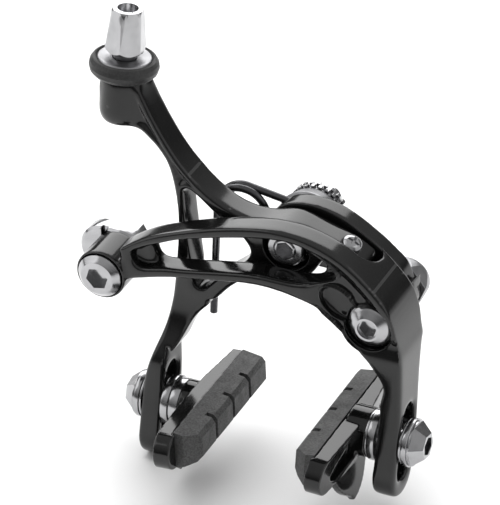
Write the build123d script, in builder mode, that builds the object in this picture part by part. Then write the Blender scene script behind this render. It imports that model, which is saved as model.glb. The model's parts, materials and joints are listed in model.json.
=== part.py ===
"""Dual-pivot road rim brake caliper, millimetres.

The origin is on the centre bolt's axis, at the rear face of the toothed washer that
meets the fork. +X is the right of a viewer in front of the brake, +Y points back to
the fork and +Z is up. Front-view outlines lie in XZ and are listed as (x, z); depths
are distances in front of the fork face, so a depth of 20 is Y = -20.
"""

from build123d import *
from math import cos, radians, sin, sqrt
import os

# ---------------------------------------------------------------- driving dimensions
PIVOT = (24.5, -12.0)        # side pivot axis in the front view
ANCHOR = (-45.7, -14.0)      # cable anchor axis in the front view

TOOTH_DEPTH = 3.0            # toothed fork washer
TOOTH_ROOT = 6.5
TEETH = 24
BRIDGE_BACK = 7.5            # bridge plate
BRIDGE_FRONT = 12.5
CENTRE_BACK = 13.0           # centre arm's beam
CENTRE_FRONT = 20.5
STRUT_BACK = 11.8            # centre arm's left strut
SIDE_BACK = 21.5             # side arm's beam
SIDE_FRONT = 28.5
SHOULDER_BACK = 13.2         # side arm's deep part round the side pivot

BOLT_R = 3.0                 # M6 bolts
BUSH_R = 4.2                 # outside of the pivot bushes
RUN = 0.04                   # radial clearance of a running fit
STUD_LENGTH = 6.4            # free thread behind the fork face
NUT_SEAT_DEPTH = 3.6         # recess in the centre arm for its washer and nut
NUT_SEAT_R = 6.0

PIVOT_HEAD_SEAT = 25.6       # floor of the recess that holds the side pivot's head
PIVOT_RECESS_R = 6.1
ANCHOR_SEAT = 28.1           # floor of the recess that holds the anchor bolt's head
ANCHOR_BOSS_R = 6.5
CLAMP_FRONT = 18.7           # cable clamp plate behind the anchor boss
CLAMP_BACK = 14.5
ANCHOR_BACK = 9.6            # rear end of the anchor bolt

LEG_LEAN = radians(14)       # the legs lean forwards
LEG_HALF = 6.3               # half of a leg's depth
SLOT_WIDTH = 6.6
SLOT_LENGTH = 19.8
SLOT_DEPTH = 24.0            # depth of both slots' middles
RIGHT_SLOT_Z = -44.6
LEFT_SLOT_Z = -49.2
RIGHT_FOOT = 14.3            # slot's middle to the end of the leg
LEFT_FOOT = 14.9
RIGHT_LEG = (27.0, 33.2)     # inner and outer faces of the legs
LEFT_LEG = (-30.1, -35.6)

BARREL_AXIS = Vector(0.064, 0.08, 0.995).normalized()
BARREL_BASE = Vector(-43.6, -17.0, 36.4)  # top of the barrel boss
BARREL_BORE = 2.55           # cable housing bore
STOP_THREAD_R = 2.9          # outside of the cable stop's thread
STOP_BASE = 6.4              # cable stop's head, from the top of the barrel boss
STOP_TOP = 17.4
HOUSING_LENGTH = 9.0         # depth of the housing's seat

PAD_GAP = 11.75              # friction face to the rim's middle plane
PAD_RAISE = {1: 0.3, -1: -0.2}  # pad bolt above its slot's middle, along the leg
PAD_RISE = {1: 0.0, -1: 3.3}   # pad's middle above its bolt
PAD_AHEAD = {1: -2.2, -1: 0.0}  # and ahead of it
PAD_TOE = {1: 1.5, -1: 2.0}  # turn about Z, degrees
PAD_NOSE_UP = 3.0            # turn about the pad bolt, degrees
PAD_LEAN = 3.0               # friction faces lean towards the rim at the bottom, degrees
BLOCK_LENGTH = 42.4
BLOCK_AHEAD = 3.5            # block's middle, ahead of the pad's middle
BLOCK_BACK = 6.0             # friction face to the block's back
TONGUE_BACK = 7.0            # friction face to the back of the block's tongue
PAD_BOSS_X = {1: 24.4, -1: 25.8}  # outer faces of the shoe holders' bosses
HEAD_SEAT = 2.0              # leg's outer face to the seat of the pad bolt's head
BALL_R = 20.0                # spherical faces of the domed and cupped washers
WEAR_PAD = (13.7, -16.2)     # (x, y) of the wear pad under the centring screw
LEDGE_DROP = 2.9             # side arm's ledge, below the centre bolt's axis
SCREW_SEAT = Vector(16.0, -17.7, 3.6)  # centring screw, under its head
SCREW_AXIS = Vector(0.42, -0.26, 0.87).normalized()
SCREW_REACH = 4.4            # from under its head to the middle of its round tip
SLIDER = (-23.55, -20.6)     # middle of the spring slider in the front view
SLIDER_BACK = 9.4

os.makedirs("parts", exist_ok=True)


def save(piece, name):
    """Label a finished piece and write its STEP file."""
    piece.label = name
    export_step(piece, f"parts/{name}.step")
    print(name, round(piece.volume, 1), len(piece.solids()))


def front_plane(depth, centre=(0, 0)):
    """A front-view plane. Local x is X, local y is Z, and the normal points forwards."""
    return Plane(origin=(centre[0], -depth, centre[1]), x_dir=(1, 0, 0), z_dir=(0, -1, 0))


def ring(centre, back, front, outer, inner, edge=0.0):
    """A washer or bush on a front-to-back axis, with its outer rims chamfered by edge."""
    with BuildPart() as washer:
        with BuildSketch(front_plane(back, centre)):
            Circle(outer)
            Circle(inner, mode=Mode.SUBTRACT)
        extrude(amount=front - back)
        if edge:
            chamfer(washer.edges().filter_by(GeomType.CIRCLE).group_by(SortBy.RADIUS)[-1], edge)
    return washer.part


def turned(origin, direction, outline):
    """A turned piece. The outline is a closed list of (distance along the axis, radius)."""
    base = Vector(*origin)
    along = Vector(*direction)
    side = along.cross(Vector(0, 1, 0)) if abs(along.Y) < 0.9 else along.cross(Vector(1, 0, 0))
    with BuildPart() as piece:
        with BuildSketch(Plane(origin=base, x_dir=along, z_dir=side)):
            with BuildLine():
                Polyline(*outline, close=True)
            make_face()
        revolve(axis=Axis(base, along))
    return piece.part


def leg_point(slot_z, down, ahead):
    """A point (y, z) of a leaning leg, from its slot's middle down the leg and ahead of it."""
    return (
        -SLOT_DEPTH - down * sin(LEG_LEAN) - ahead * cos(LEG_LEAN),
        slot_z - down * cos(LEG_LEAN) + ahead * sin(LEG_LEAN),
    )


def leg_plane(slot_z):
    """Plane across X at a slot's middle. Local x points ahead and local y up the leg."""
    middle = leg_point(slot_z, 0, 0)
    return Plane(
        origin=(0, *middle),
        x_dir=(0, -cos(LEG_LEAN), sin(LEG_LEAN)),
        z_dir=(-1, 0, 0),
    )


# ================================================================ fixed to the fork
with BuildPart() as toothed_washer:
    with BuildSketch(front_plane(0)):
        Circle(TOOTH_ROOT)
        Circle(BOLT_R + 0.05, mode=Mode.SUBTRACT)
    extrude(amount=TOOTH_DEPTH)
    # two staggered rows of rim teeth
    for row, turn in ((0.2, 0), (1.6, 360 / TEETH / 2)):
        with BuildSketch(front_plane(row)):
            with PolarLocations(TOOTH_ROOT + 0.3, TEETH, start_angle=turn):
                Rectangle(1.5, 0.95)
        extrude(amount=1.15)
save(toothed_washer.part, "toothed_washer")

with BuildPart() as fork_spacer:
    with BuildSketch(Plane.XY):
        with BuildLine():
            Polyline(
                (BOLT_R + 0.05, -TOOTH_DEPTH),
                (7.1, -TOOTH_DEPTH),
                (8.2, -BRIDGE_BACK + 0.6),
                (7.8, -BRIDGE_BACK),
                (BOLT_R + 0.05, -BRIDGE_BACK),
                close=True,
            )
        make_face()
    revolve(axis=Axis.Y)
save(fork_spacer.part, "fork_spacer")

WIRE_R = 0.95                # return spring's wire
COIL_DEPTH = 8.8             # depth of the wire where it leaves the bridge plate
HOOK_END = (-3.6, 5.6)       # spring's fixed end, inside the bridge plate
with BuildPart() as bridge_plate:
    with BuildSketch(front_plane(BRIDGE_BACK)):
        with BuildLine():
            crown = Spline(
                (-7.9, 1.6), (-4.6, 6.6), (0.0, 8.3), (6.0, 8.3), (12.4, 6.3), (17.2, 3.5), (21.0, 0.9),
                (24.4, -1.9), (26.9, -4.7), (28.9, -8.3), (29.7, -12.0),
                tangents=((0.25, 1.0), (0.0, -1.0)),
            )
            toe = ThreePointArc(crown @ 1, (26.6, -16.8), (20.0, -15.2))
            Spline(toe @ 1, (12.0, -9.4), (2.5, -8.3), (-5.6, -5.4), crown @ 0,
                   tangents=((-0.8, 0.6), (0.25, 1.0)))
        make_face()
        with Locations((0, 0), PIVOT):
            Circle(BOLT_R + 0.05, mode=Mode.SUBTRACT)
        # lightening window between the two bolts
        with Locations((12.6, -2.4)):
            SlotOverall(8.4, 4.4, rotation=-32, mode=Mode.SUBTRACT)
    extrude(amount=BRIDGE_FRONT - BRIDGE_BACK)
    # blind hole for the fixed end of the spring, along the wire
    with BuildSketch(Plane(origin=(HOOK_END[0], -COIL_DEPTH, HOOK_END[1]), z_dir=(-0.98, 0, 0.2))):
        Circle(WIRE_R + 0.04)
    extrude(amount=8, mode=Mode.SUBTRACT)
save(bridge_plate.part, "bridge_plate")

with BuildPart() as centre_bolt:
    with BuildSketch(front_plane(-STUD_LENGTH)):
        Circle(BOLT_R)
    extrude(amount=STUD_LENGTH + 21.3)
    chamfer(centre_bolt.edges().filter_by(GeomType.CIRCLE), 0.5)
    # thread relief inside the toothed washer
    with BuildSketch(front_plane(0)):
        Circle(BOLT_R + 1)
        Circle(BOLT_R - 0.3, mode=Mode.SUBTRACT)
    extrude(amount=1.2, mode=Mode.SUBTRACT)
    # key socket in the front end
    with BuildSketch(front_plane(21.3)):
        RegularPolygon(2.4, 6, rotation=20)
    extrude(amount=-2.2, mode=Mode.SUBTRACT)
save(centre_bolt.part, "centre_bolt")

NUT_SEAT = CENTRE_FRONT - NUT_SEAT_DEPTH
WASHER_FRONT = NUT_SEAT + 0.9
save(ring((0, 0), NUT_SEAT, WASHER_FRONT, 5.5, BOLT_R + 0.05, 0.2), "centre_washer")

with BuildPart() as centre_nut:
    with BuildSketch(front_plane(WASHER_FRONT)):
        Circle(4.8)
    extrude(amount=3.2)
    chamfer(centre_nut.edges().group_by(Axis.Y)[0], 0.5)
    # two flats for a spanner
    with BuildSketch(front_plane(WASHER_FRONT + 0.8)):
        with Locations((0, 8.4), (0, -8.4)):
            Rectangle(20, 9)
    extrude(amount=4, mode=Mode.SUBTRACT)
    with Locations(front_plane(WASHER_FRONT)):
        Cylinder(BOLT_R + 0.02, 10, mode=Mode.SUBTRACT)
save(centre_nut.part, "centre_nut")

save(ring((0, 0), BRIDGE_FRONT, CENTRE_BACK - 0.05, 6.4, BOLT_R + 0.05), "centre_thrust_washer")
save(ring(PIVOT, BRIDGE_FRONT, SHOULDER_BACK - 0.05, 6.0, BOLT_R + 0.05), "side_thrust_washer")

with BuildPart() as side_pivot_bolt:
    with BuildSketch(front_plane(2.2, PIVOT)):
        Circle(BOLT_R)
    extrude(amount=PIVOT_HEAD_SEAT - 2.2 + 0.6)
    with BuildSketch(front_plane(PIVOT_HEAD_SEAT + 0.6, PIVOT)):
        Circle(5.5)
    extrude(amount=0.7)
    with BuildSketch(front_plane(PIVOT_HEAD_SEAT + 1.3, PIVOT)):
        Circle(5.5)
    extrude(amount=1.5, taper=58)
    # round well in the cone, then the key socket
    with BuildSketch(front_plane(PIVOT_HEAD_SEAT + 2.8, PIVOT)):
        Circle(2.5)
    extrude(amount=-0.7, mode=Mode.SUBTRACT)
    with BuildSketch(front_plane(PIVOT_HEAD_SEAT + 2.8, PIVOT)):
        RegularPolygon(2.3, 6, rotation=10)
    extrude(amount=-2.4, mode=Mode.SUBTRACT)
save(side_pivot_bolt.part, "side_pivot_bolt")

save(ring(PIVOT, PIVOT_HEAD_SEAT, PIVOT_HEAD_SEAT + 0.6, 5.6, BOLT_R + 0.05), "side_pivot_washer")

with BuildPart() as side_pivot_nut:
    with BuildSketch(front_plane(2.6, PIVOT)):
        RegularPolygon(6.4, 6, rotation=8)
    extrude(amount=BRIDGE_BACK - 2.6)
    with BuildSketch(front_plane(BRIDGE_BACK, PIVOT)):
        Circle(6.5)
    extrude(amount=-(BRIDGE_BACK - 2.6), taper=12, mode=Mode.INTERSECT)
    with Locations(front_plane(BRIDGE_BACK, PIVOT)):
        Cylinder(BOLT_R + 0.02, 20, mode=Mode.SUBTRACT)
save(side_pivot_nut.part, "side_pivot_nut")


# ---------------------------------------------------------------- return spring
COIL = (-16.0, 1.2)          # coil axis in the front view
COIL_R = 6.4                 # to the middle of the wire
COIL_RISE = 2.47             # forward travel over the whole coil
COIL_START = 80.4            # where the fixed end and the leg meet the coil, degrees
COIL_END = 537.0
COIL_BENDS = 10
LEG_END = (-24.0, -29.6)
bend = (COIL_END - COIL_START) / COIL_BENDS
corner_r = COIL_R / cos(radians(bend / 2))


def coil_corner(step):
    """Corner of the polygon round the coil, whose sides touch the wire's circle."""
    angle = radians(COIL_START + bend * (step + 0.5))
    return (
        COIL[0] + corner_r * cos(angle),
        -COIL_DEPTH - COIL_RISE * (step + 0.5) / COIL_BENDS,
        COIL[1] + corner_r * sin(angle),
    )


with BuildPart() as return_spring:
    hook = (HOOK_END[0], -COIL_DEPTH, HOOK_END[1])
    with BuildLine() as wire:
        FilletPolyline(
            hook, *[coil_corner(step) for step in range(COIL_BENDS)],
            (LEG_END[0], -COIL_DEPTH - COIL_RISE, LEG_END[1]),
            radius=0.93 * COIL_R,
        )
    with BuildSketch(Plane(origin=hook, z_dir=wire.wires()[0] % 0)):
        Circle(WIRE_R)
    sweep(path=wire.wires()[0])
save(return_spring.part, "return_spring")

# ================================================================ side arm
with BuildPart() as side_envelope:
    # seen from above: a thin beam on the left, deep round the side pivot
    with BuildSketch(Plane.XY.offset(-20)):
        with BuildLine():
            Polyline((21.6, -SHOULDER_BACK), (40.0, -SHOULDER_BACK), (40.0, -SIDE_FRONT),
                     (-60.0, -SIDE_FRONT), (-60.0, -SIDE_BACK), (18.0, -SIDE_BACK))
            Spline((18.0, -SIDE_BACK), (22.0, -19.6), (23.0, -16.4), (21.6, -SHOULDER_BACK),
                   tangents=((1, 0), (-1, 1)))
        make_face()
    extrude(amount=50)
    # the ledge under the centre arm's finger, which the centring screw bears on
    with BuildSketch(front_plane(SHOULDER_BACK)):
        with BuildLine():
            Polyline((11.4, -16.0), (11.4, -LEDGE_DROP), (16.6, -LEDGE_DROP), (18.6, -5.0),
                     (22.0, -5.0), (24.5, -3.0), (40.0, -3.0), (40.0, -16.0), close=True)
        make_face()
    extrude(amount=SIDE_FRONT - SHOULDER_BACK)
    # seen from the side: the leg, leaning forwards to its slot
    with BuildSketch(Plane.YZ.offset(10)):
        with BuildLine():
            front_edge = Spline(
                (-SIDE_FRONT, -16.0), (-SIDE_FRONT, -29.0), leg_point(RIGHT_SLOT_Z, -4.0, LEG_HALF),
                leg_point(RIGHT_SLOT_Z, RIGHT_FOOT - 5.8, LEG_HALF),
                tangents=((0.0, -1.0), (-sin(LEG_LEAN), -cos(LEG_LEAN))),
            )
            foot = ThreePointArc(
                front_edge @ 1, leg_point(RIGHT_SLOT_Z, RIGHT_FOOT, 0),
                leg_point(RIGHT_SLOT_Z, RIGHT_FOOT - 5.8, -LEG_HALF),
            )
            Spline(
                foot @ 1, leg_point(RIGHT_SLOT_Z, -4.0, -LEG_HALF), (-15.2, -27.0),
                (-SHOULDER_BACK, -16.0),
                tangents=((sin(LEG_LEAN), cos(LEG_LEAN)), (0.12, 1.0)),
            )
            Line((-SHOULDER_BACK, -16.0), (-SIDE_FRONT, -16.0))
        make_face()
    extrude(amount=40)

with BuildPart() as side_arm:
    with BuildSketch(front_plane(SHOULDER_BACK)):
        with BuildLine():
            top = Spline(
                (-41.2, -6.2), (-33.6, -1.0), (-25.4, 2.6), (-16.2, 5.9), (-6.6, 8.4), (2.0, 9.5),
                (10.5, 8.4), (18.6, 4.9), (25.2, -0.6), (30.2, -7.0), (32.8, -17.0), (RIGHT_LEG[1], -29.0),
                tangents=((0.8, 0.6), (0.0, -1.0)),
            )
            heel = Line(top @ 1, (RIGHT_LEG[1], -62.0))
            sole = Line(heel @ 1, (RIGHT_LEG[0], -62.0))
            shin = Line(sole @ 1, (RIGHT_LEG[0] + 0.6, -34.0))
            calf = Spline(shin @ 1, (28.4, -27.6), (25.2, -22.6), (19.4, -15.6), (12.3, -10.6), (5.0, -7.9),
                          tangents=((0.02, 1.0), (-1.0, 0.2)))
            belly = Spline(calf @ 1, (-5.0, -7.2), (-16.5, -8.9), (-27.0, -10.8), (-39.6, -14.4),
                           tangents=((-1.0, 0.2), (-1.0, -0.3)))
            Line(belly @ 1, top @ 0)
        make_face()
        with Locations(ANCHOR):
            Circle(ANCHOR_BOSS_R)
        with Locations(PIVOT):
            Circle(PIVOT_RECESS_R + 0.9)
    extrude(amount=SIDE_FRONT + 6.0 - SHOULDER_BACK)
    add(side_envelope.part, mode=Mode.INTERSECT)
    # anchor boss, a little proud in front and reaching back to the cable clamp
    with BuildSketch(front_plane(CLAMP_FRONT, ANCHOR)):
        Circle(ANCHOR_BOSS_R)
    extrude(amount=SIDE_FRONT + 0.8 - CLAMP_FRONT)
    # window between the two rails of the beam
    with BuildSketch(front_plane(SHOULDER_BACK)):
        with BuildLine():
            rail = Spline(
                (-31.4, -2.6), (-25.4, 0.2), (-16.3, 3.0), (-7.9, 5.2), (0.0, 6.6), (6.6, 6.6),
                (12.2, 4.4), (16.4, 0.6),
                tangents=((0.9, 0.44), (0.5, -1.0)),
            )
            tip = Spline(rail @ 1, (15.2, -0.8), (11.0, -2.6), (4.7, -4.1),
                         tangents=((0.1, -1.0), (-1.0, -0.1)))
            sill = Spline(tip @ 1, (-2.8, -4.2), (-10.8, -5.2), (-20.0, -7.0), (-30.0, -8.6),
                          tangents=((-1.0, -0.1), (-1.0, -0.1)))
            Spline(sill @ 1, (-32.6, -6.4), rail @ 0, tangents=((-1.0, -0.1), (0.9, 0.44)))
        make_face()
    extrude(amount=SIDE_FRONT + 2, mode=Mode.SUBTRACT)
    # thin floor that closes the window's right end
    with BuildSketch(front_plane(SIDE_BACK)):
        with Locations((14.6, 0.6)):
            Rectangle(6.4, 6.8)
    extrude(amount=1.6)
    # the window's left end is a shallow pocket
    with BuildSketch(front_plane(SIDE_FRONT - 3.2)):
        with BuildLine():
            brow = Spline((-28.0, -1.0), (-33.0, -3.2), (-37.0, -5.4), tangents=((-0.9, -0.44), (-0.9, -0.5)))
            nose = Spline(brow @ 1, (-37.4, -8.0), (-34.4, -9.9), tangents=((-0.9, -0.5), (1.0, 0.1)))
            Line(nose @ 1, (-28.0, -8.3))
            Line((-28.0, -8.3), brow @ 0)
        make_face()
    extrude(amount=6, mode=Mode.SUBTRACT)
    # bore of the pivot bush and the recess round the bolt's head
    with BuildSketch(front_plane(0, PIVOT)):
        Circle(BUSH_R)
    extrude(amount=40, mode=Mode.SUBTRACT)
    with BuildSketch(front_plane(PIVOT_HEAD_SEAT, PIVOT)):
        Circle(PIVOT_RECESS_R)
    extrude(amount=10, mode=Mode.SUBTRACT)
    # hole and recess of the cable anchor bolt
    with BuildSketch(front_plane(0, ANCHOR)):
        Circle(BOLT_R + RUN)
    extrude(amount=40, mode=Mode.SUBTRACT)
    with BuildSketch(front_plane(ANCHOR_SEAT, ANCHOR)):
        Circle(5.9)
    extrude(amount=10, mode=Mode.SUBTRACT)
    # blind seat of the wear pad, in the ledge
    with BuildSketch(Plane.XY.offset(-LEDGE_DROP - 1.2)):
        with Locations(WEAR_PAD):
            Circle(1.9)
    extrude(amount=8, mode=Mode.SUBTRACT)
    # slot for the brake pad's bolt
    with BuildSketch(leg_plane(RIGHT_SLOT_Z)):
        SlotOverall(SLOT_LENGTH, SLOT_WIDTH, rotation=90)
    extrude(amount=-60, mode=Mode.SUBTRACT)
    # egg-shaped pocket left of the pivot
    with BuildSketch(front_plane(SIDE_FRONT - 2.4, (16.8, -7.1))):
        Ellipse(5.3, 3.5, rotation=-38)
    extrude(amount=10, mode=Mode.SUBTRACT)
save(side_arm.part, "side_arm")

save(ring(PIVOT, SHOULDER_BACK, PIVOT_HEAD_SEAT, BUSH_R, BOLT_R + RUN), "side_arm_bush")

with BuildPart() as cable_anchor_bolt:
    with BuildSketch(front_plane(ANCHOR_BACK, ANCHOR)):
        Circle(BOLT_R)
    extrude(amount=ANCHOR_SEAT - ANCHOR_BACK)
    with BuildSketch(front_plane(ANCHOR_SEAT, ANCHOR)):
        Circle(5.7)
    extrude(amount=1.6)
    with BuildSketch(front_plane(ANCHOR_SEAT + 1.6, ANCHOR)):
        Circle(5.7)
    extrude(amount=1.4, taper=45)
    with BuildSketch(front_plane(ANCHOR_SEAT + 3.0, ANCHOR)):
        RegularPolygon(3.0, 6, rotation=12)
    extrude(amount=-2.4, mode=Mode.SUBTRACT)
save(cable_anchor_bolt.part, "cable_anchor_bolt")

with BuildPart() as cable_clamp_plate:
    # longer on the left, where the cable passes
    with BuildSketch(front_plane(CLAMP_BACK, (ANCHOR[0] - 2.2, ANCHOR[1]))):
        SlotCenterToCenter(4.4, 13.0)
    extrude(amount=CLAMP_FRONT - CLAMP_BACK)
    chamfer(cable_clamp_plate.edges().filter_by(Plane.XZ).group_by(Axis.Y)[0], 0.6)
    with BuildSketch(front_plane(0, ANCHOR)):
        Circle(BOLT_R + RUN)
    extrude(amount=40, mode=Mode.SUBTRACT)
    # groove for the cable, beside the bolt
    with BuildSketch(front_plane(CLAMP_FRONT, (ANCHOR[0] - 4.0, ANCHOR[1]))):
        Rectangle(1.8, 20)
    extrude(amount=-1.1, mode=Mode.SUBTRACT)
save(cable_clamp_plate.part, "cable_clamp_plate")

with BuildPart() as cable_clamp_nut:
    with BuildSketch(front_plane(CLAMP_BACK, ANCHOR)):
        RegularPolygon(5.7, 6)
    extrude(amount=-4.0)
    with BuildSketch(front_plane(0, ANCHOR)):
        Circle(BOLT_R + RUN)
    extrude(amount=40, mode=Mode.SUBTRACT)
    chamfer(cable_clamp_nut.edges().filter_by(Plane.XZ).filter_by(GeomType.LINE), 0.4)
save(cable_clamp_nut.part, "cable_clamp_nut")

save(
    turned((*WEAR_PAD, -LEDGE_DROP - 1.2), (0, 0, 1), [(0, 0), (0, 1.9), (2.2, 1.9), (2.2, 0)]),
    "side_wear_pad",
)

# ================================================================ centre arm
with BuildPart() as centre_envelope:
    # seen from above: the beam, deeper on the left
    with BuildSketch(Plane.XY.offset(-12)):
        with BuildLine():
            Polyline((-14.0, -CENTRE_BACK), (40.0, -CENTRE_BACK), (40.0, -CENTRE_FRONT),
                     (-60.0, -CENTRE_FRONT), (-60.0, -STRUT_BACK), (-26.0, -STRUT_BACK), close=True)
        make_face()
    extrude(amount=54)
    with BuildSketch(Plane.XY.offset(-20)):
        with Locations((-8, -(CENTRE_BACK + CENTRE_FRONT) / 2)):
            Rectangle(38, CENTRE_FRONT - CENTRE_BACK)
    extrude(amount=8)
    # seen from the side: the strut comes forwards below the side arm and becomes the leg
    with BuildSketch(Plane.YZ.offset(-45)):
        with BuildLine():
            front_edge = Spline(
                (-CENTRE_FRONT, -12.0), (-20.7, -23.0), (-23.2, -29.6), (-27.2, -35.6),
                leg_point(LEFT_SLOT_Z, -6.0, LEG_HALF), leg_point(LEFT_SLOT_Z, LEFT_FOOT - 5.8, LEG_HALF),
                tangents=((0.0, -1.0), (-sin(LEG_LEAN), -cos(LEG_LEAN))),
            )
            foot = ThreePointArc(
                front_edge @ 1, leg_point(LEFT_SLOT_Z, LEFT_FOOT, 0),
                leg_point(LEFT_SLOT_Z, LEFT_FOOT - 5.8, -LEG_HALF),
            )
            Spline(
                foot @ 1, leg_point(LEFT_SLOT_Z, -6.0, -LEG_HALF), (-15.6, -29.0), (-13.5, -20.5),
                (-STRUT_BACK, -12.0),
                tangents=((sin(LEG_LEAN), cos(LEG_LEAN)), (0.1, 1.0)),
            )
            Line((-STRUT_BACK, -12.0), (-CENTRE_FRONT, -12.0))
        make_face()
    extrude(amount=24)

with BuildPart() as centre_arm:
    with BuildSketch(front_plane(11)):
        with BuildLine():
            beam = Spline(
                (-38.3, 34.8), (-33.7, 25.4), (-29.1, 18.2), (-24.1, 12.7), (-18.1, 8.6),
                (-12.0, 6.4), (-6.0, 6.2), (1.0, 7.6), (9.0, 5.9), (16.0, 3.6), (19.4, 1.6),
                tangents=((0.4, -1.0), (0.8, -0.6)),
            )
            finger = ThreePointArc(beam @ 1, (20.7, -0.6), (18.6, -1.9))
            under = Spline(finger @ 1, (13.6, -0.7), (9.6, -1.4), (7.4, -4.6), (2.0, -8.6), (-4.0, -9.6),
                           (-13.6, -13.7), (-20.6, -21.4), (-26.2, -29.0), (-29.3, -34.0),
                           (LEFT_LEG[0], -37.6),
                           tangents=((-0.8, 0.1), (0.0, -1.0)))
            shin = Line(under @ 1, (LEFT_LEG[0], -67.0))
            sole = Line(shin @ 1, (LEFT_LEG[1], -67.0))
            heel = Line(sole @ 1, (LEFT_LEG[1], -47.0))
            strut = Spline(
                heel @ 1, (-34.8, -39.4), (-32.6, -31.4), (-30.9, -22.0), (-29.3, -8.0), (-28.8, 2.7),
                (-29.8, 11.0), (-32.6, 18.4), (-37.0, 22.8), (-43.0, 23.9),
                tangents=((0.0, 1.0), (-1.0, -0.05)),
            )
            chin = ThreePointArc(strut @ 1, (-47.2, 24.4), (-48.9, 28.4))
            edge = Line(chin @ 1, (-48.9, 34.8))
            Line(edge @ 1, beam @ 0)
        make_face()
    extrude(amount=26)
    add(centre_envelope.part, mode=Mode.INTERSECT)
    # barrel boss
    add(turned(BARREL_BASE, -BARREL_AXIS,
               [(0, 0), (0, 4.8), (0.6, 5.4), (9.8, 5.4), (11.6, 4.7), (12.4, 3.9), (12.4, 0)]))
    # window between the beam, the strut and the lower brace
    with BuildSketch(front_plane(8)):
        with BuildLine():
            sill = Spline((-25.0, 9.8), (-21.8, 7.4), (-17.0, 3.6), (-12.2, 0.4), (-9.6, -3.0),
                          tangents=((0.8, -0.5), (0.4, -1.0)))
            corner = Spline(sill @ 1, (-11.0, -6.6), (-16.6, -11.6), (-21.2, -16.4),
                            tangents=((0.0, -1.0), (-0.7, -0.75)))
            arch = ThreePointArc(corner @ 1, (-23.9, -17.2), (-25.2, -14.6))
            inner = Spline(arch @ 1, (-26.2, -6.0), (-27.0, 2.0), (-27.3, 8.4),
                           tangents=((-0.1, 1.0), (0.0, 1.0)))
            ThreePointArc(inner @ 1, (-26.5, 10.1), sill @ 0)
        make_face()
    extrude(amount=24, mode=Mode.SUBTRACT)
    # bore of the pivot bush and the recess for the bolt's washer and nut
    with BuildSketch(front_plane(0)):
        Circle(BUSH_R)
    extrude(amount=40, mode=Mode.SUBTRACT)
    with BuildSketch(front_plane(NUT_SEAT)):
        Circle(NUT_SEAT_R)
    extrude(amount=10, mode=Mode.SUBTRACT)
    # slot for the brake pad's bolt
    with BuildSketch(leg_plane(LEFT_SLOT_Z)):
        SlotOverall(SLOT_LENGTH, SLOT_WIDTH, rotation=90)
    extrude(amount=60, mode=Mode.SUBTRACT)
    # threaded bore for the cable stop, open below so that the cable can pass
    add(turned(BARREL_BASE + 1.0 * BARREL_AXIS, -BARREL_AXIS,
               [(0, 0), (0, STOP_THREAD_R + RUN), (30, STOP_THREAD_R + RUN), (30, 0)]),
        mode=Mode.SUBTRACT)
    # clearance bore and countersink of the centring screw
    add(turned(SCREW_SEAT, SCREW_AXIS,
               [(-12, 0), (-12, 1.5 + RUN), (0, 1.5 + RUN), (0, 2.45), (8, 2.45), (8, 0)]),
        mode=Mode.SUBTRACT)
    # socket of the spring slider's peg
    with BuildSketch(front_plane(0, SLIDER)):
        Circle(1.5)
    extrude(amount=17.0, mode=Mode.SUBTRACT)
save(centre_arm.part, "centre_arm")

save(ring((0, 0), CENTRE_BACK, NUT_SEAT, BUSH_R, BOLT_R + RUN), "centre_arm_bush")

with BuildPart() as centring_screw:
    add(turned(SCREW_SEAT, SCREW_AXIS,
               [(-SCREW_REACH, 0), (-SCREW_REACH, 1.5), (0, 1.5), (0.0, 2.3), (0.9, 2.3), (1.5, 1.5),
                (1.7, 0)]))
    with Locations(SCREW_SEAT - SCREW_REACH * SCREW_AXIS):
        Sphere(1.5)
    # cross recess
    with BuildSketch(Plane(origin=SCREW_SEAT + 0.7 * SCREW_AXIS, x_dir=(1, 0, -0.48), z_dir=SCREW_AXIS)):
        Rectangle(3.0, 0.6)
        Rectangle(0.6, 3.0)
    extrude(amount=2, mode=Mode.SUBTRACT)
save(centring_screw.part, "centring_screw")

with BuildPart() as spring_slider:
    with BuildSketch(front_plane(SLIDER_BACK, SLIDER)):
        Rectangle(5.2, 4.4)
    extrude(amount=CENTRE_BACK - 0.1 - SLIDER_BACK)
    with BuildSketch(front_plane(SLIDER_BACK, SLIDER)):
        Rectangle(2 * WIRE_R + 0.5, 6.0, rotation=3)
    extrude(amount=CENTRE_BACK - 0.8 - SLIDER_BACK, mode=Mode.SUBTRACT)
    with BuildSketch(front_plane(CENTRE_BACK - 0.2, SLIDER)):
        Circle(1.5)
    extrude(amount=4.0)
save(spring_slider.part, "spring_slider")

# ---------------------------------------------------------------- barrel adjuster
save(
    turned(BARREL_BASE, BARREL_AXIS, [(0, STOP_THREAD_R + RUN), (0, 4.6), (0.6, 4.9), (1.2, 4.6),
                                      (1.2, STOP_THREAD_R + RUN)]),
    "barrel_seat",
)
save(
    turned(BARREL_BASE, BARREL_AXIS, [(1.25, STOP_THREAD_R + RUN), (1.25, 4.4), (3.0, 6.0), (3.9, 6.65),
                                      (4.4, 6.65), (4.7, 6.3), (4.5, STOP_THREAD_R + RUN)]),
    "adjuster_wheel",
)

save(
    turned(BARREL_BASE, BARREL_AXIS,
           [(1.4, 4.75), (3.0, 6.2), (3.9, 6.75), (4.4, 6.75), (4.7, 7.1), (4.4, 7.7),
            (3.5, 8.3), (2.4, 8.5), (1.2, 8.2), (0.3, 7.4), (0.1, 6.5), (0.6, 5.4)]),
    "adjuster_ring",
)

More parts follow.
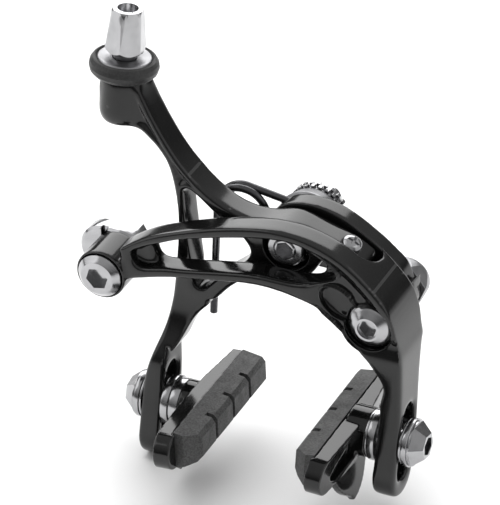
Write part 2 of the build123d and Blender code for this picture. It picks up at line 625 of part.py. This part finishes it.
with BuildPart() as cable_stop:
    # six-sided cone on a threaded stem, bored for the cable and the housing
    with BuildSketch(Plane(origin=BARREL_BASE + STOP_BASE * BARREL_AXIS, x_dir=(0.7, 0.6, -0.1),
                           z_dir=BARREL_AXIS)):
        RegularPolygon(5.2, 6)
    with BuildSketch(Plane(origin=BARREL_BASE + STOP_TOP * BARREL_AXIS, x_dir=(0.7, 0.6, -0.1),
                           z_dir=BARREL_AXIS)):
        RegularPolygon(4.2, 6)
    loft()
    add(turned(BARREL_BASE, BARREL_AXIS,
               [(STOP_BASE - 1.5, 0), (STOP_BASE - 1.5, 3.4), (STOP_BASE + 0.9, 5.1),
                (STOP_TOP - 0.4, 3.95), (STOP_TOP, 3.7), (STOP_TOP, 0)]),
        mode=Mode.INTERSECT)
    add(turned(BARREL_BASE, BARREL_AXIS,
               [(-8, 0), (-8, STOP_THREAD_R), (STOP_BASE, STOP_THREAD_R), (STOP_BASE, 0)]))
    add(turned(BARREL_BASE, BARREL_AXIS,
               [(STOP_TOP - HOUSING_LENGTH, 0), (STOP_TOP - HOUSING_LENGTH, BARREL_BORE),
                (40, BARREL_BORE), (40, 0)]),
        mode=Mode.SUBTRACT)
    add(turned(BARREL_BASE, BARREL_AXIS, [(-20, 0), (-20, 1.2), (STOP_TOP - 3, 1.2), (STOP_TOP - 3, 0)]),
        mode=Mode.SUBTRACT)
save(cable_stop.part, "cable_stop")


# ================================================================ brake pads
def along_pad(side):
    """A pad's directions: away from the rim, forwards and down."""
    outward = Vector(side, 0, 0).rotate(Axis.Y, side * PAD_LEAN).rotate(Axis.Z, PAD_TOE[side])
    forwards = Vector(0, -1, 0).rotate(Axis.X, -PAD_NOSE_UP).rotate(Axis.Z, PAD_TOE[side])
    forwards = (forwards - outward * forwards.dot(outward)).normalized()
    return outward, forwards, side * outward.cross(forwards)


def domed_washer(base, side, rim, outer):
    """Washer on a pad bolt with a ball-shaped outer face."""
    dome = [rim + sqrt(BALL_R**2 - r**2) - sqrt(BALL_R**2 - outer**2) for r in (4.6, BOLT_R + 0.05)]
    with BuildPart() as washer:
        with BuildSketch(Plane(origin=base, x_dir=(side, 0, 0), z_dir=(0, side, 0))):
            with BuildLine():
                Polyline((dome[1], -BOLT_R - 0.05), (0, -BOLT_R - 0.05), (0, -outer), (rim, -outer))
                ThreePointArc((rim, -outer), (dome[0], -4.6), (dome[1], -BOLT_R - 0.05))
            make_face()
        revolve(axis=Axis(base, (1, 0, 0)))
    return washer.part


def cupped_washer(base, side, rim, length, outer):
    """Washer on a pad bolt whose inner face takes a domed washer's ball."""
    cup = [rim + sqrt(BALL_R**2 - r**2) - sqrt(BALL_R**2 - outer**2) for r in (4.6, BOLT_R + 0.05)]
    with BuildPart() as washer:
        with BuildSketch(Plane(origin=base, x_dir=(side, 0, 0), z_dir=(0, side, 0))):
            with BuildLine():
                Polyline((cup[1], -BOLT_R - 0.05), (length, -BOLT_R - 0.05), (length, -outer), (rim, -outer))
                ThreePointArc((rim, -outer), (cup[0], -4.6), (cup[1], -BOLT_R - 0.05))
            make_face()
        revolve(axis=Axis(base, (1, 0, 0)))
    return washer.part


for side, name in ((1, "right"), (-1, "left")):
    leg = RIGHT_LEG if side > 0 else LEFT_LEG
    slot_z = RIGHT_SLOT_Z if side > 0 else LEFT_SLOT_Z
    bolt = leg_point(slot_z, -PAD_RAISE[side], 0)
    outward, forwards, down = along_pad(side)
    middle = Vector(side * PAD_GAP, *bolt) + Vector(0, -PAD_AHEAD[side], PAD_RISE[side])
    section = Plane(origin=middle, x_dir=outward, z_dir=-side * forwards)
    plan = Plane(origin=middle, x_dir=outward, z_dir=side * down)
    face = Plane(origin=middle, x_dir=forwards, z_dir=outward)
    block_front = BLOCK_AHEAD + BLOCK_LENGTH / 2
    boss_face = Vector(side * PAD_BOSS_X[side], *bolt)

    with BuildPart() as brake_block:
        # section across the block, with the tongue that slides into the holder
        with BuildSketch(section.offset(-side * BLOCK_AHEAD)):
            Polygon((0.0, -2.6), (0.0, 2.4), (1.2, 3.7), (BLOCK_BACK, 4.9), (BLOCK_BACK, 3.2),
                    (TONGUE_BACK, 3.2), (TONGUE_BACK, -3.2), (BLOCK_BACK, -3.2), (BLOCK_BACK, -4.9),
                    (0.9, -3.8), align=None)
        extrude(amount=BLOCK_LENGTH / 2, both=True)
        # bevelled front end
        with BuildSketch(plan):
            Polygon((-1, block_front - 4.4), (-1, block_front + 1), (6.0, block_front + 1),
                    (6.0, block_front), (3.6, block_front), align=None)
        extrude(amount=8, both=True, mode=Mode.SUBTRACT)
        # water grooves across the friction face
        for ahead in (-7.6, 2.4, 12.8):
            with BuildSketch(section.offset(-side * ahead)):
                Polygon((-1, -9), (-1, 9), (2.4, 9), (2.8, 3.4), (2.8, -3.0), (2.2, -9), align=None)
            extrude(amount=0.65, both=True, mode=Mode.SUBTRACT)
        # seat of the retaining screw
        with BuildSketch(face.offset(5.4)):
            with Locations((-10.0, 0)):
                Circle(1.35)
        extrude(amount=4, mode=Mode.SUBTRACT)
    save(brake_block.part, f"{name}_brake_block")

    with BuildPart() as shoe_holder:
        # side view: round nose, square tail
        with BuildSketch(face):
            with BuildLine():
                nose = ThreePointArc((25.2, -4.6), (29.6, 0), (25.2, 4.6))
                Polyline(nose @ 1, (-17.6, 4.7), (-19.2, 3.0), (-19.2, -3.0), (-17.6, -4.7), nose @ 0)
            make_face()
        extrude(amount=14)
        # seen from above: thickest at the bolt
        with BuildSketch(plan):
            with BuildLine():
                back = Spline((9.6, 29.8), (10.2, 20.0), (10.5, 9.0), (10.4, 0.0), (9.7, -8.0), (8.6, -19.4),
                              tangents=((0.1, -1.0), (-0.08, -1.0)))
                Polyline(back @ 1, (BLOCK_BACK + 0.05, -19.4), (BLOCK_BACK + 0.05, block_front + 0.2),
                         (5.4, block_front + 0.6), (5.4, 29.8), back @ 0)
            make_face()
        extrude(amount=14, both=True, mode=Mode.INTERSECT)
        # boss round the bolt
        with BuildSketch(Plane(origin=boss_face, z_dir=(-side, 0, 0))):
            Circle(6.2)
        extrude(amount=PAD_BOSS_X[side] - 19.0)
        # wheel guide, flaring outwards below the holder
        flare = (outward - 0.24 * down).normalized()
        with BuildSketch(Plane(origin=middle + 7.4 * outward, x_dir=forwards, z_dir=flare)):
            with BuildLine():
                rear = Spline((-0.5, side * 3.6), (1.2, side * 7.4), (4.1, side * 11.2), (11.6, side * 14.6),
                              tangents=((0.2, side * 1.0), (1.0, side * 0.15)))
                ahead_edge = Spline(rear @ 1, (15.6, side * 11.0), (20.8, side * 3.6),
                                    tangents=((0.45, -side * 1.0), (0.4, -side * 1.0)))
                Line(ahead_edge @ 1, rear @ 0)
            make_face()
        extrude(amount=1.7)
        # channel of the block's tongue, open at the tail
        with BuildSketch(section.offset(-side * (block_front + 0.1))):
            Polygon((0, -3.3), (TONGUE_BACK + 0.05, -3.3), (TONGUE_BACK + 0.05, 3.3), (0, 3.3), align=None)
        extrude(amount=side * 60, mode=Mode.SUBTRACT)
        # hollow on the outside, ahead of the bolt
        with BuildSketch(face.offset(8.0)):
            with BuildLine():
                roof = Spline((7.4, -side * 3.4), (15.0, -side * 2.2), (23.6, side * 0.6),
                              tangents=((1.0, side * 0.1), (1.0, side * 0.5)))
                floor = Spline(roof @ 1, (21.6, side * 3.0), (8.6, side * 3.4),
                               tangents=((-0.2, side * 1.0), (-1.0, 0.0)))
                Line(floor @ 1, roof @ 0)
            make_face()
        extrude(amount=6, mode=Mode.SUBTRACT)
        # flat seat of the inner washers
        with BuildSketch(Plane(origin=boss_face, z_dir=(side, 0, 0))):
            Circle(6.8)
        extrude(amount=6, mode=Mode.SUBTRACT)
        # bores of the pad bolt and the retaining screw
        with BuildSketch(Plane(origin=boss_face, z_dir=(-side, 0, 0))):
            Circle(BOLT_R + RUN)
        extrude(amount=4.6, mode=Mode.SUBTRACT)
        with BuildSketch(face.offset(5)):
            with Locations((-10.0, 0)):
                Circle(1.2)
        extrude(amount=10, mode=Mode.SUBTRACT)
    save(shoe_holder.part, f"{name}_shoe_holder")

    with BuildPart() as retaining_screw:
        with BuildSketch(face.offset(5.9)):
            with Locations((-10.0, 0)):
                Circle(1.2)
        extrude(amount=3.2)
        with BuildSketch(face.offset(8.5)):
            with Locations((-10.0, 0)):
                RegularPolygon(0.75, 6)
        extrude(amount=2, mode=Mode.SUBTRACT)
    save(retaining_screw.part, f"{name}_retaining_screw")

    leg_out = Vector(leg[1], *bolt)
    inner_gap = side * leg[0] - PAD_BOSS_X[side]
    save(domed_washer(boss_face, side, inner_gap - 2.0, 6.2), f"{name}_inner_domed_washer")
    save(cupped_washer(boss_face, side, inner_gap - 1.9, inner_gap, 6.5), f"{name}_inner_cupped_washer")
    save(domed_washer(leg_out, side, 0.6, 5.9), f"{name}_outer_domed_washer")
    save(cupped_washer(leg_out, side, 0.7, HEAD_SEAT, 6.1), f"{name}_outer_cupped_washer")

    with BuildPart() as pad_bolt:
        with BuildSketch(Plane(origin=leg_out + Vector(side * HEAD_SEAT, 0, 0), z_dir=(-side, 0, 0))):
            Circle(BOLT_R)
        extrude(amount=side * (leg_out.X - boss_face.X) + HEAD_SEAT + 4.4)
        # six-sided cone head
        with BuildSketch(Plane(origin=leg_out + Vector(side * HEAD_SEAT, 0, 0), z_dir=(side, 0, 0))):
            Circle(5.7)
        extrude(amount=0.6)
        with BuildSketch(Plane(origin=leg_out + Vector(side * (HEAD_SEAT + 0.6), 0, 0), z_dir=(side, 0, 0))):
            RegularPolygon(5.8, 6, rotation=18)
        extrude(amount=2.9, taper=36)
        with BuildSketch(Plane(origin=leg_out + Vector(side * (HEAD_SEAT + 4.0), 0, 0), z_dir=(-side, 0, 0))):
            RegularPolygon(2.5, 6)
        extrude(amount=3.4, mode=Mode.SUBTRACT)
    save(pad_bolt.part, f"{name}_pad_bolt")
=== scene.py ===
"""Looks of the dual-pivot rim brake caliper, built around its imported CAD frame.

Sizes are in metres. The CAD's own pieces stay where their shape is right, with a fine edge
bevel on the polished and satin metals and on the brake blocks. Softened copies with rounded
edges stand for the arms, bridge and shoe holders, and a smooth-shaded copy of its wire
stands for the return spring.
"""

import json
from math import cos, hypot, radians, sin

import bmesh
import bpy
from mathutils import Matrix, Vector
from mathutils.kdtree import KDTree


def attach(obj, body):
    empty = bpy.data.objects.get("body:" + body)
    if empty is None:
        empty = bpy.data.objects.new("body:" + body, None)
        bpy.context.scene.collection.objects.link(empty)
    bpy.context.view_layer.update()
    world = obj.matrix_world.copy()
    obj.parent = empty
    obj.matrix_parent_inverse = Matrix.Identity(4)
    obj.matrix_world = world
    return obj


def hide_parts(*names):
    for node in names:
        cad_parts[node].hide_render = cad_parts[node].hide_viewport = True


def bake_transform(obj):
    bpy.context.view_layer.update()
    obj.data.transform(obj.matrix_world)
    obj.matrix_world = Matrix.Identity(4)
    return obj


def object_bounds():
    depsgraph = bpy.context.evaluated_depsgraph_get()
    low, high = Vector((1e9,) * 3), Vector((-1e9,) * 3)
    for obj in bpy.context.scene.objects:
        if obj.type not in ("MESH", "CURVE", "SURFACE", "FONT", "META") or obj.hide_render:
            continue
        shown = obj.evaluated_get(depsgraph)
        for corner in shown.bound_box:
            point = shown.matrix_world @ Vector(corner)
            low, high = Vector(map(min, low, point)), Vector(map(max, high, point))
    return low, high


MM = 0.001
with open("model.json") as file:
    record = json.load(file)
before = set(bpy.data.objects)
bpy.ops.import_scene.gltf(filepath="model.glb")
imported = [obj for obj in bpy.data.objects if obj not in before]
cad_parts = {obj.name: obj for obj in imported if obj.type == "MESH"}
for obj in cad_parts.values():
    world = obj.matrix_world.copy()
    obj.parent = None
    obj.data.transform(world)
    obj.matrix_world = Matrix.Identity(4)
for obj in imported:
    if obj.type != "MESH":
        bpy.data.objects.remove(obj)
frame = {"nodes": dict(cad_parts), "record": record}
cad_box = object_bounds()
nodes = frame["nodes"]
record = frame["record"]
body_of = {
    node: body for body, members in record["behaviour"]["bodies"].items() for node in members
}
slot_of = {s["node"]: s["material_slot"] for s in record["subparts"]}
scene = bpy.context.scene


# ---------------------------------------------------------------- camera
TARGET = Vector((0, -22, 0)) * MM
AZIMUTH = radians(25.5)
ELEVATION = radians(32.3)
ROLL = radians(1.0)
DISTANCE = 0.9
LENS = 269.5
OFF_CENTRE = (7.857 * MM, 0.119 * MM)  # target to the picture's middle, right and up


def add_camera():
    """A long lens, above and to the right of the brake's front."""
    back = Vector(
        (sin(AZIMUTH) * cos(ELEVATION), -cos(AZIMUTH) * cos(ELEVATION), sin(ELEVATION))
    )
    level = Vector((cos(AZIMUTH), sin(AZIMUTH), 0))
    rise = back.cross(level)
    right = level * cos(ROLL) - rise * sin(ROLL)
    up = rise * cos(ROLL) + level * sin(ROLL)
    data = bpy.data.cameras.new("camera")
    data.lens = LENS
    data.sensor_width = 36
    data.clip_start = 0.05
    data.clip_end = 20
    camera = bpy.data.objects.new("camera", data)
    scene.collection.objects.link(camera)
    place = TARGET + DISTANCE * back - OFF_CENTRE[0] * right - OFF_CENTRE[1] * up
    turn = Matrix((right, up, back)).transposed().to_4x4()
    camera.matrix_world = Matrix.Translation(place) @ turn
    scene.camera = camera


# ---------------------------------------------------------------- materials
class Finish:
    """A node material whose textures follow the piece's own place in the frame."""

    def __init__(self, name, colour, metallic, roughness, **sockets):
        self.material = bpy.data.materials.new(name)
        self.material.use_nodes = True
        self.nodes = self.material.node_tree.nodes
        self.links = self.material.node_tree.links
        self.shader = self.nodes["Principled BSDF"]
        self.shader.inputs["Base Color"].default_value = (*colour, 1)
        self.shader.inputs["Metallic"].default_value = metallic
        self.shader.inputs["Roughness"].default_value = roughness
        for socket, value in sockets.items():
            self.shader.inputs[socket.replace("_", " ")].default_value = value
        self.place = self.nodes.new("ShaderNodeTexCoord").outputs["Object"]
        self.normal = None

    def noise(self, size, detail=3.0):
        """Noise whose features are about size across."""
        texture = self.nodes.new("ShaderNodeTexNoise")
        texture.inputs["Scale"].default_value = 1 / size
        texture.inputs["Detail"].default_value = detail
        self.links.new(self.place, texture.inputs["Vector"])
        return texture.outputs["Fac"]

    def ramp(self, source, stops):
        """Colours or greys along a 0 to 1 value."""
        ramp = self.nodes.new("ShaderNodeValToRGB")
        elements = ramp.color_ramp.elements
        while len(elements) < len(stops):
            elements.new(0.5)
        for element, (at, colour) in zip(elements, stops):
            element.position = at
            element.color = (*colour, 1) if isinstance(colour, tuple) else (*[colour] * 3, 1)
        self.links.new(source, ramp.inputs["Fac"])
        return ramp.outputs["Color"]

    def feed(self, socket, source):
        self.links.new(source, self.shader.inputs[socket])

    def bump(self, source, depth):
        """Relief of the given depth, on top of any before it."""
        node = self.nodes.new("ShaderNodeBump")
        node.inputs["Strength"].default_value = 1
        node.inputs["Distance"].default_value = depth
        self.links.new(source, node.inputs["Height"])
        if self.normal is not None:
            self.links.new(self.normal, node.inputs["Normal"])
        self.normal = node.outputs["Normal"]
        self.feed("Normal", self.normal)


def black_finish(name, base, low, high):
    """Hard black surface with faint orange peel, and a painted highlight that lightens its
    convex edges.
    """
    made = Finish(name, (base, base, base), 0.0, 0.2, IOR=1.45, Specular_IOR_Level=0.55)
    made.feed("Roughness", made.ramp(made.noise(6 * MM), [(0.3, low), (0.7, high)]))
    # painted highlight: a lighter base colour on convex edges, where light catches the rounding
    edges = made.nodes.new("ShaderNodeNewGeometry").outputs["Pointiness"]
    made.feed("Base Color", made.ramp(edges, [(0.505, base), (0.56, 0.035)]))
    made.bump(made.noise(1.2 * MM, 2.0), 0.004 * MM)
    return made.material


def metal_finish(name, colour, low, high, grain, depth):
    """Bare metal with small wipes in its gloss and a fine grain."""
    made = Finish(name, colour, 1.0, low)
    made.feed("Roughness", made.ramp(made.noise(2.5 * MM), [(0.3, low), (0.75, high)]))
    shade = tuple(0.8 * c for c in colour)
    made.feed("Base Color", made.ramp(made.noise(4 * MM, 5.0), [(0.25, shade), (0.6, colour)]))
    made.bump(made.noise(grain, 2.0), depth)
    return made.material


def rubber_finish(name, dark, light, grain, depth, roughness):
    """Moulded rubber with grain and a dusty bloom."""
    made = Finish(name, (dark, dark, dark), 0.0, roughness, Specular_IOR_Level=0.35)
    speckle = made.noise(grain, 6.0)
    made.feed("Base Color", made.ramp(speckle, [(0.3, dark), (0.72, light)]))
    worn, dull = roughness - 0.1, roughness + 0.1
    made.feed("Roughness", made.ramp(made.noise(3 * MM), [(0.3, worn), (0.7, dull)]))
    made.bump(speckle, depth)
    made.bump(made.noise(2.2 * MM, 3.0), 2 * depth)
    return made.material


def plastic_finish(name, colour):
    """Matte moulded plastic."""
    made = Finish(name, colour, 0.0, 0.45)
    made.feed("Roughness", made.ramp(made.noise(1.5 * MM), [(0.3, 0.38), (0.7, 0.55)]))
    made.bump(made.noise(0.5 * MM), 0.01 * MM)
    return made.material


BARE_METALS = {  # colour, roughness from and to, grain size and depth in mm
    "polished_steel": ((0.45, 0.45, 0.46), 0.14, 0.24, 0.6, 0.002),
    "polished_alloy": ((0.48, 0.48, 0.49), 0.14, 0.24, 0.6, 0.002),
    "satin_alloy": ((0.34, 0.34, 0.35), 0.34, 0.46, 0.3, 0.006),
    "spring_steel": ((0.10, 0.10, 0.105), 0.22, 0.34, 0.4, 0.004),
    "bronze": ((0.52, 0.38, 0.20), 0.25, 0.38, 0.4, 0.004),
}
FINISHES = {
    "black_anodised": black_finish("black_anodised", 0.006, 0.10, 0.17),
    "black_gloss": black_finish("black_gloss", 0.005, 0.08, 0.14),
    **{
        name: metal_finish(name, colour, low, high, grain * MM, depth * MM)
        for name, (colour, low, high, grain, depth) in BARE_METALS.items()
    },
    "nylon": plastic_finish("nylon", (0.03, 0.03, 0.03)),
    "rubber": rubber_finish("rubber", 0.018, 0.035, 0.5 * MM, 0.02 * MM, 0.45),
    "brake_rubber": rubber_finish("brake_rubber", 0.032, 0.09, 0.45 * MM, 0.05 * MM, 0.6),
}


def dress(piece, slot):
    """Give a piece its slot's finish."""
    piece.data.materials.clear()
    piece.data.materials.append(FINISHES[slot])


# ---------------------------------------------------------------- pieces
SAME_PLACE = 0.001 * MM      # vertices nearer than this are one
SMOOTH_FACTOR = 0.5          # share of the way to its neighbours that a vertex moves in a pass
BEVEL_WIDTH = 0.12 * MM
BEVEL_ANGLE = radians(32)    # sharper edges get a bevel
BEVELLED = {"polished_steel", "polished_alloy", "satin_alloy", "brake_rubber"}

# A front-view place in mm, with the radii where its edges stop being crisp and are fully rounded
SIDE_PIVOT = (24.5, -12.0, 7.4, 9.4)
ANCHOR_BOSS = (-45.7, -14.0, 6.2, 8.2)
CENTRE_NUT = (0.0, 0.0, 6.8, 8.8)
BRIDGE_HOLES = ((0.0, 0.0, 4.0, 5.0), (24.5, -12.0, 4.0, 5.0))
SOFTENED = {  # voxel size, passes, rounding, crisp places
    "side_arm": (0.25 * MM, 12, 110, (SIDE_PIVOT, ANCHOR_BOSS)),
    "centre_arm": (0.25 * MM, 12, 110, (CENTRE_NUT,)),
    "bridge_plate": (0.25 * MM, 10, 24, BRIDGE_HOLES),
    "right_shoe_holder": (0.2 * MM, 14, 0, ()),
    "left_shoe_holder": (0.2 * MM, 14, 0, ()),
}

# Hollows, in mm
SIDE_ARM_FRONT = 28.5        # the arms' flat fronts, ahead of the fork
CENTRE_ARM_FRONT = 20.5
OUTER_EDGE = (-2, -28, 37.3)  # a circle just inside the side arm's outer edge: x, z, radius
FRONT_REACH = 1.6            # how far behind a flat front its rounded rim can reach
FRONT_SINKS = 0.3            # and how far behind it a vertex still sinks
RIM_NORMAL = (-0.8, -0.4)    # Y of a normal halfway round the rim
FACING = -0.3                # Y of a normal that still counts as facing front


def smooth_shaded(mesh):
    mesh.polygons.foreach_set("use_smooth", [True] * len(mesh.polygons))


def add_smoothing(piece, passes):
    smooth = piece.modifiers.new("smooth", "SMOOTH")
    smooth.factor = SMOOTH_FACTOR
    smooth.iterations = passes
    return smooth


def evaluated_copy(piece):
    """The mesh that a piece's modifiers make of it."""
    bpy.context.view_layer.update()
    graph = bpy.context.evaluated_depsgraph_get()
    return bpy.data.meshes.new_from_object(piece.evaluated_get(graph))


def softened(node, voxel, passes, rounding, crisp):
    """A copy of a CAD node with rounded edges, which stands for it.

    Every edge gets the passes, and the rounding is for edges outside the crisp places,
    each a front-view centre in mm with its inner and outer radius.
    """
    mesh = nodes[node].data.copy()
    cleaner = bmesh.new()
    cleaner.from_mesh(mesh)
    bmesh.ops.remove_doubles(cleaner, verts=cleaner.verts, dist=SAME_PLACE)
    cleaner.to_mesh(mesh)
    cleaner.free()
    piece = bpy.data.objects.new(f"{node}_softened", mesh)
    scene.collection.objects.link(piece)
    remesh = piece.modifiers.new("remesh", "REMESH")
    remesh.mode = "VOXEL"
    remesh.voxel_size = voxel
    add_smoothing(piece, passes)
    made = evaluated_copy(piece)
    piece.modifiers.clear()
    piece.data = made
    if rounding:
        group = piece.vertex_groups.new(name="rounded")
        for vertex in made.vertices:
            weight = 1.0
            for x, z, near, far in crisp:
                away = hypot(vertex.co.x / MM - x, vertex.co.z / MM - z)
                weight = min(weight, max(0.0, (away - near) / (far - near)))
            if weight:
                group.add([vertex.index], weight, "REPLACE")
        add_smoothing(piece, rounding).vertex_group = group.name
        made = evaluated_copy(piece)
        piece.modifiers.clear()
        piece.vertex_groups.clear()
        piece.data = made
    smooth_shaded(made)
    dress(piece, slot_of[node])
    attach(piece, body_of[node])
    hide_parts(node)
    return piece


def fade(value, start, end):
    """0 before start and 1 past end, smooth in between."""
    t = min(1.0, max(0.0, (value - start) / (end - start)))
    return t * t * (3 - 2 * t)


def hollow(piece, front, is_rim, reach, slope, depth):
    """Sink a flat front face, front mm ahead of the fork, and leave a ridge along its rims.

    is_rim and reach take a front-view place in mm. The face sinks in over slope, a pair of
    distances from the rims in mm, by depth times reach.
    """
    near_front = [v for v in piece.data.vertices if v.co.y < -(front - FRONT_REACH) * MM]
    tree = KDTree(len(near_front))
    for index, vertex in enumerate(near_front):
        turning = RIM_NORMAL[0] < vertex.normal.y < RIM_NORMAL[1]
        if turning and is_rim(vertex.co.x / MM, vertex.co.z / MM):
            tree.insert(vertex.co, index)
    tree.balance()
    sinks = []
    for vertex in near_front:
        amount = reach(vertex.co.x / MM, vertex.co.z / MM)
        on_front = vertex.normal.y < FACING and vertex.co.y < -(front - FRONT_SINKS) * MM
        if amount and on_front:
            from_rim = tree.find(vertex.co)[2] / MM
            sinks.append((vertex, depth * MM * amount * fade(from_rim, *slope)))
    for vertex, sink in sinks:
        vertex.co.y += sink
    piece.data.update()


def past_outer_edge(x, z):
    """True along the side arm's outer edge, over the side pivot."""
    centre_x, centre_z, radius = OUTER_EDGE
    return hypot(x - centre_x, z - centre_z) > radius


def anywhere(x, z):
    return True


def round_side_pivot(x, z):
    """1 beside the side pivot, fading out along the beam and down the leg."""
    return fade(x, 7, 17) * fade(z, -21, -15)


def on_upper_beam(x, z):
    """1 along the centre arm's upper beam, fading out below it and before the cable stop."""
    return fade(z, 8, 13) * fade(x, -41, -36)


def bevel_edges(piece):
    """A fine bevel that catches the light along a piece's sharp edges."""
    weld = piece.modifiers.new("weld", "WELD")
    weld.merge_threshold = SAME_PLACE
    bevel = piece.modifiers.new("bevel", "BEVEL")
    bevel.width = BEVEL_WIDTH
    bevel.segments = 2
    bevel.limit_method = "ANGLE"
    bevel.angle_limit = BEVEL_ANGLE


def bending_spring():
    """The return spring's wire, a smooth-shaded copy of the CAD spring that stands for it."""
    node = "return_spring"
    piece = bpy.data.objects.new("return_spring_wire", nodes[node].data.copy())
    scene.collection.objects.link(piece)
    smooth_shaded(piece.data)
    dress(piece, slot_of[node])
    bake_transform(piece)
    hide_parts(node)


def add_pieces():
    bending_spring()
    for node, piece in nodes.items():
        if node in SOFTENED:
            continue
        dress(piece, slot_of[node])
        if slot_of[node] in BEVELLED:
            bevel_edges(piece)
    copies = {node: softened(node, *settings) for node, settings in SOFTENED.items()}
    hollow(
        copies["side_arm"], SIDE_ARM_FRONT, past_outer_edge, round_side_pivot,
        slope=(0.9, 4.0), depth=1.5,
    )
    hollow(
        copies["centre_arm"], CENTRE_ARM_FRONT, anywhere, on_upper_beam,
        slope=(0.5, 2.2), depth=1.1,
    )


# ---------------------------------------------------------------- studio
SKY_GREYS = ((0.15, 0.12), (0.7, 0.60))  # a height and the grey there


def add_softbox(name, place, aim, size, power):
    """A rectangular area light that faces a point."""
    data = bpy.data.lights.new(name, "AREA")
    data.shape = "RECTANGLE"
    data.size, data.size_y = size
    data.energy = power
    light = bpy.data.objects.new(name, data)
    scene.collection.objects.link(light)
    light.location = place
    light.rotation_euler = (Vector(aim) - Vector(place)).to_track_quat("-Z", "Y").to_euler()
    return light


def add_floor():
    lowest = cad_box[0][2]
    bpy.ops.mesh.primitive_plane_add(size=8, location=(0, 0, lowest))
    floor = bpy.context.object
    floor.name = "floor"
    paper = Finish("paper", (0.86, 0.86, 0.86), 0.0, 0.9)
    paper.feed("Base Color", paper.ramp(paper.noise(0.4), [(0.3, 0.85), (0.7, 0.87)]))
    floor.data.materials.append(paper.material)


def add_sky():
    """Dark grey at the horizon and below, and lighter overhead."""
    world = bpy.data.worlds.new("studio")
    world.use_nodes = True
    tree = world.node_tree
    sky = tree.nodes["Background"]
    direction = tree.nodes.new("ShaderNodeTexCoord").outputs["Generated"]
    split = tree.nodes.new("ShaderNodeSeparateXYZ")
    tree.links.new(direction, split.inputs["Vector"])
    ramp = tree.nodes.new("ShaderNodeValToRGB")
    for element, (at, grey) in zip(ramp.color_ramp.elements, SKY_GREYS):
        element.position = at
        element.color = (grey, grey, grey, 1)
    tree.links.new(split.outputs["Z"], ramp.inputs["Fac"])
    tree.links.new(ramp.outputs["Color"], sky.inputs["Color"])
    sky.inputs["Strength"].default_value = 0.9
    scene.world = world
    scene.view_settings.view_transform = "Standard"


def add_lights():
    overhead = add_softbox("overhead", (-0.05, 0.15, 0.75), (0, -0.02, 0), (1.1, 0.8), 7)
    overhead.visible_glossy = False
    add_softbox("behind", (-0.36, 0.75, 0.52), (0, -0.02, 0), (1.1, 0.6), 6.5)
    add_softbox("left", (-0.60, -0.20, 0.35), (0, -0.02, -0.01), (0.7, 0.7), 1.5)
    add_softbox("right", (0.65, 0.05, 0.30), (0, -0.02, -0.01), (0.7, 0.7), 0.8)


add_camera()
add_pieces()
add_floor()
add_sky()
add_lights()
